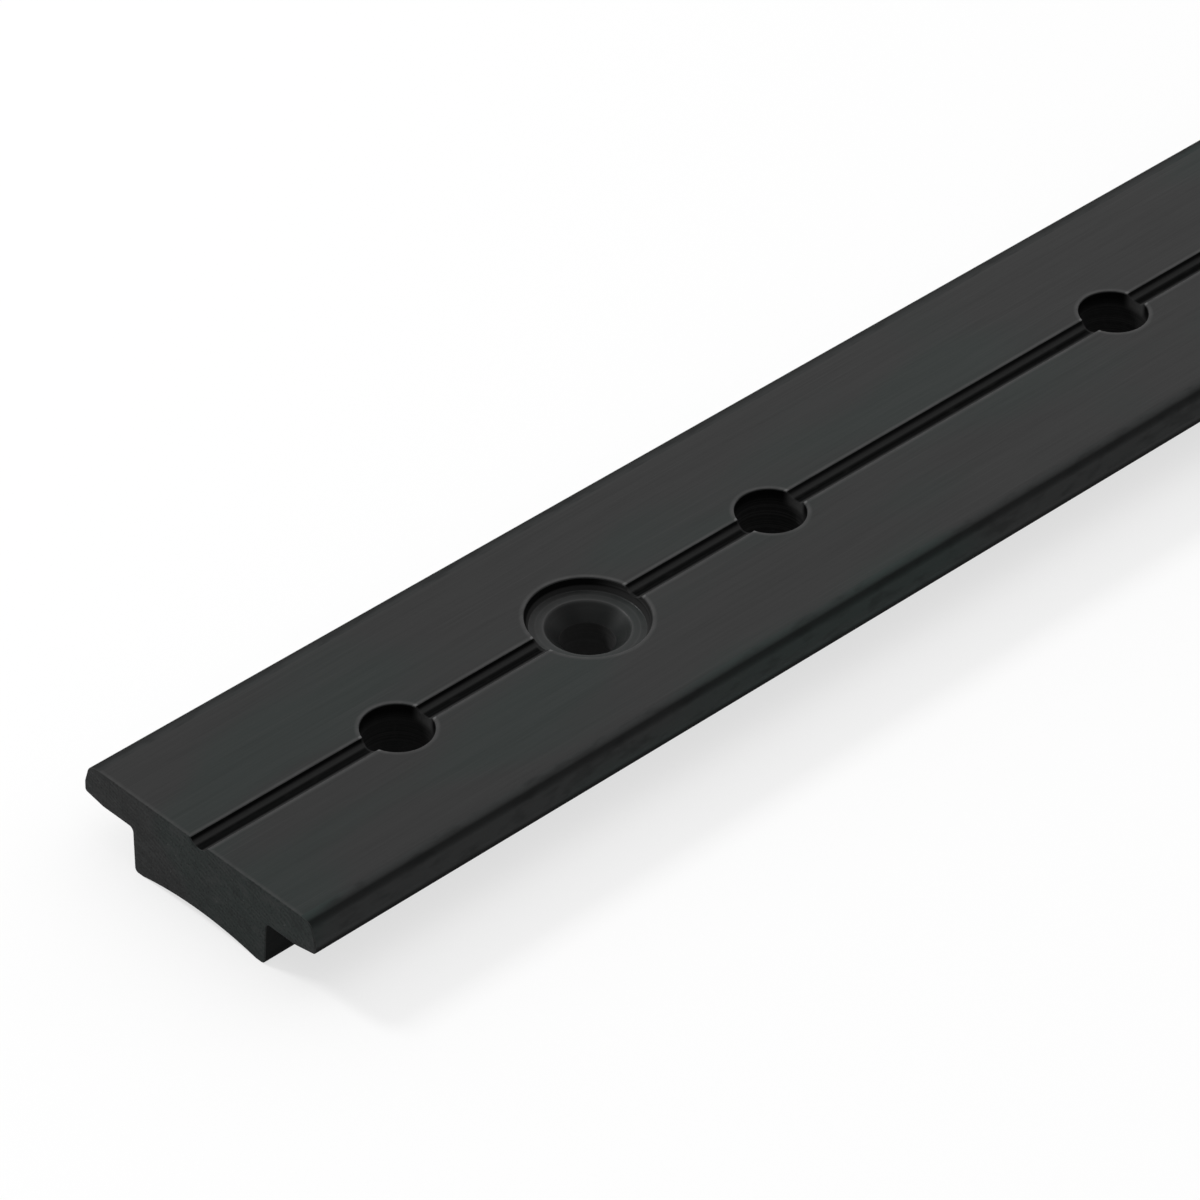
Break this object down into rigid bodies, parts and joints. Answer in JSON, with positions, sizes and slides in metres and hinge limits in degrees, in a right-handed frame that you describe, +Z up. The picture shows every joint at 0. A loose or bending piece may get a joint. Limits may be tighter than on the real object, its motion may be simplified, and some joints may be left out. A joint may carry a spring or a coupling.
{
  "type": "sail track section",
  "caption": "Straight length of black T-section sail track: a wide head on a narrower hollowed foot, with recessed fastener holes and plain stop holes along a centre groove.",
  "frame": {"origin": "middle of the length and width, on the plane of the foot's two lands", "axes": "+X along the track, +Y across it, +Z up out of the head, away from the deck"},
  "size_m": [0.6, 0.032, 0.009],
  "materials": {
    "anodised_aluminium": "black anodised, satin"
  },
  "bodies": {
    "root": {"sail_track": "anodised_aluminium"}
  },
  "joints": []
}
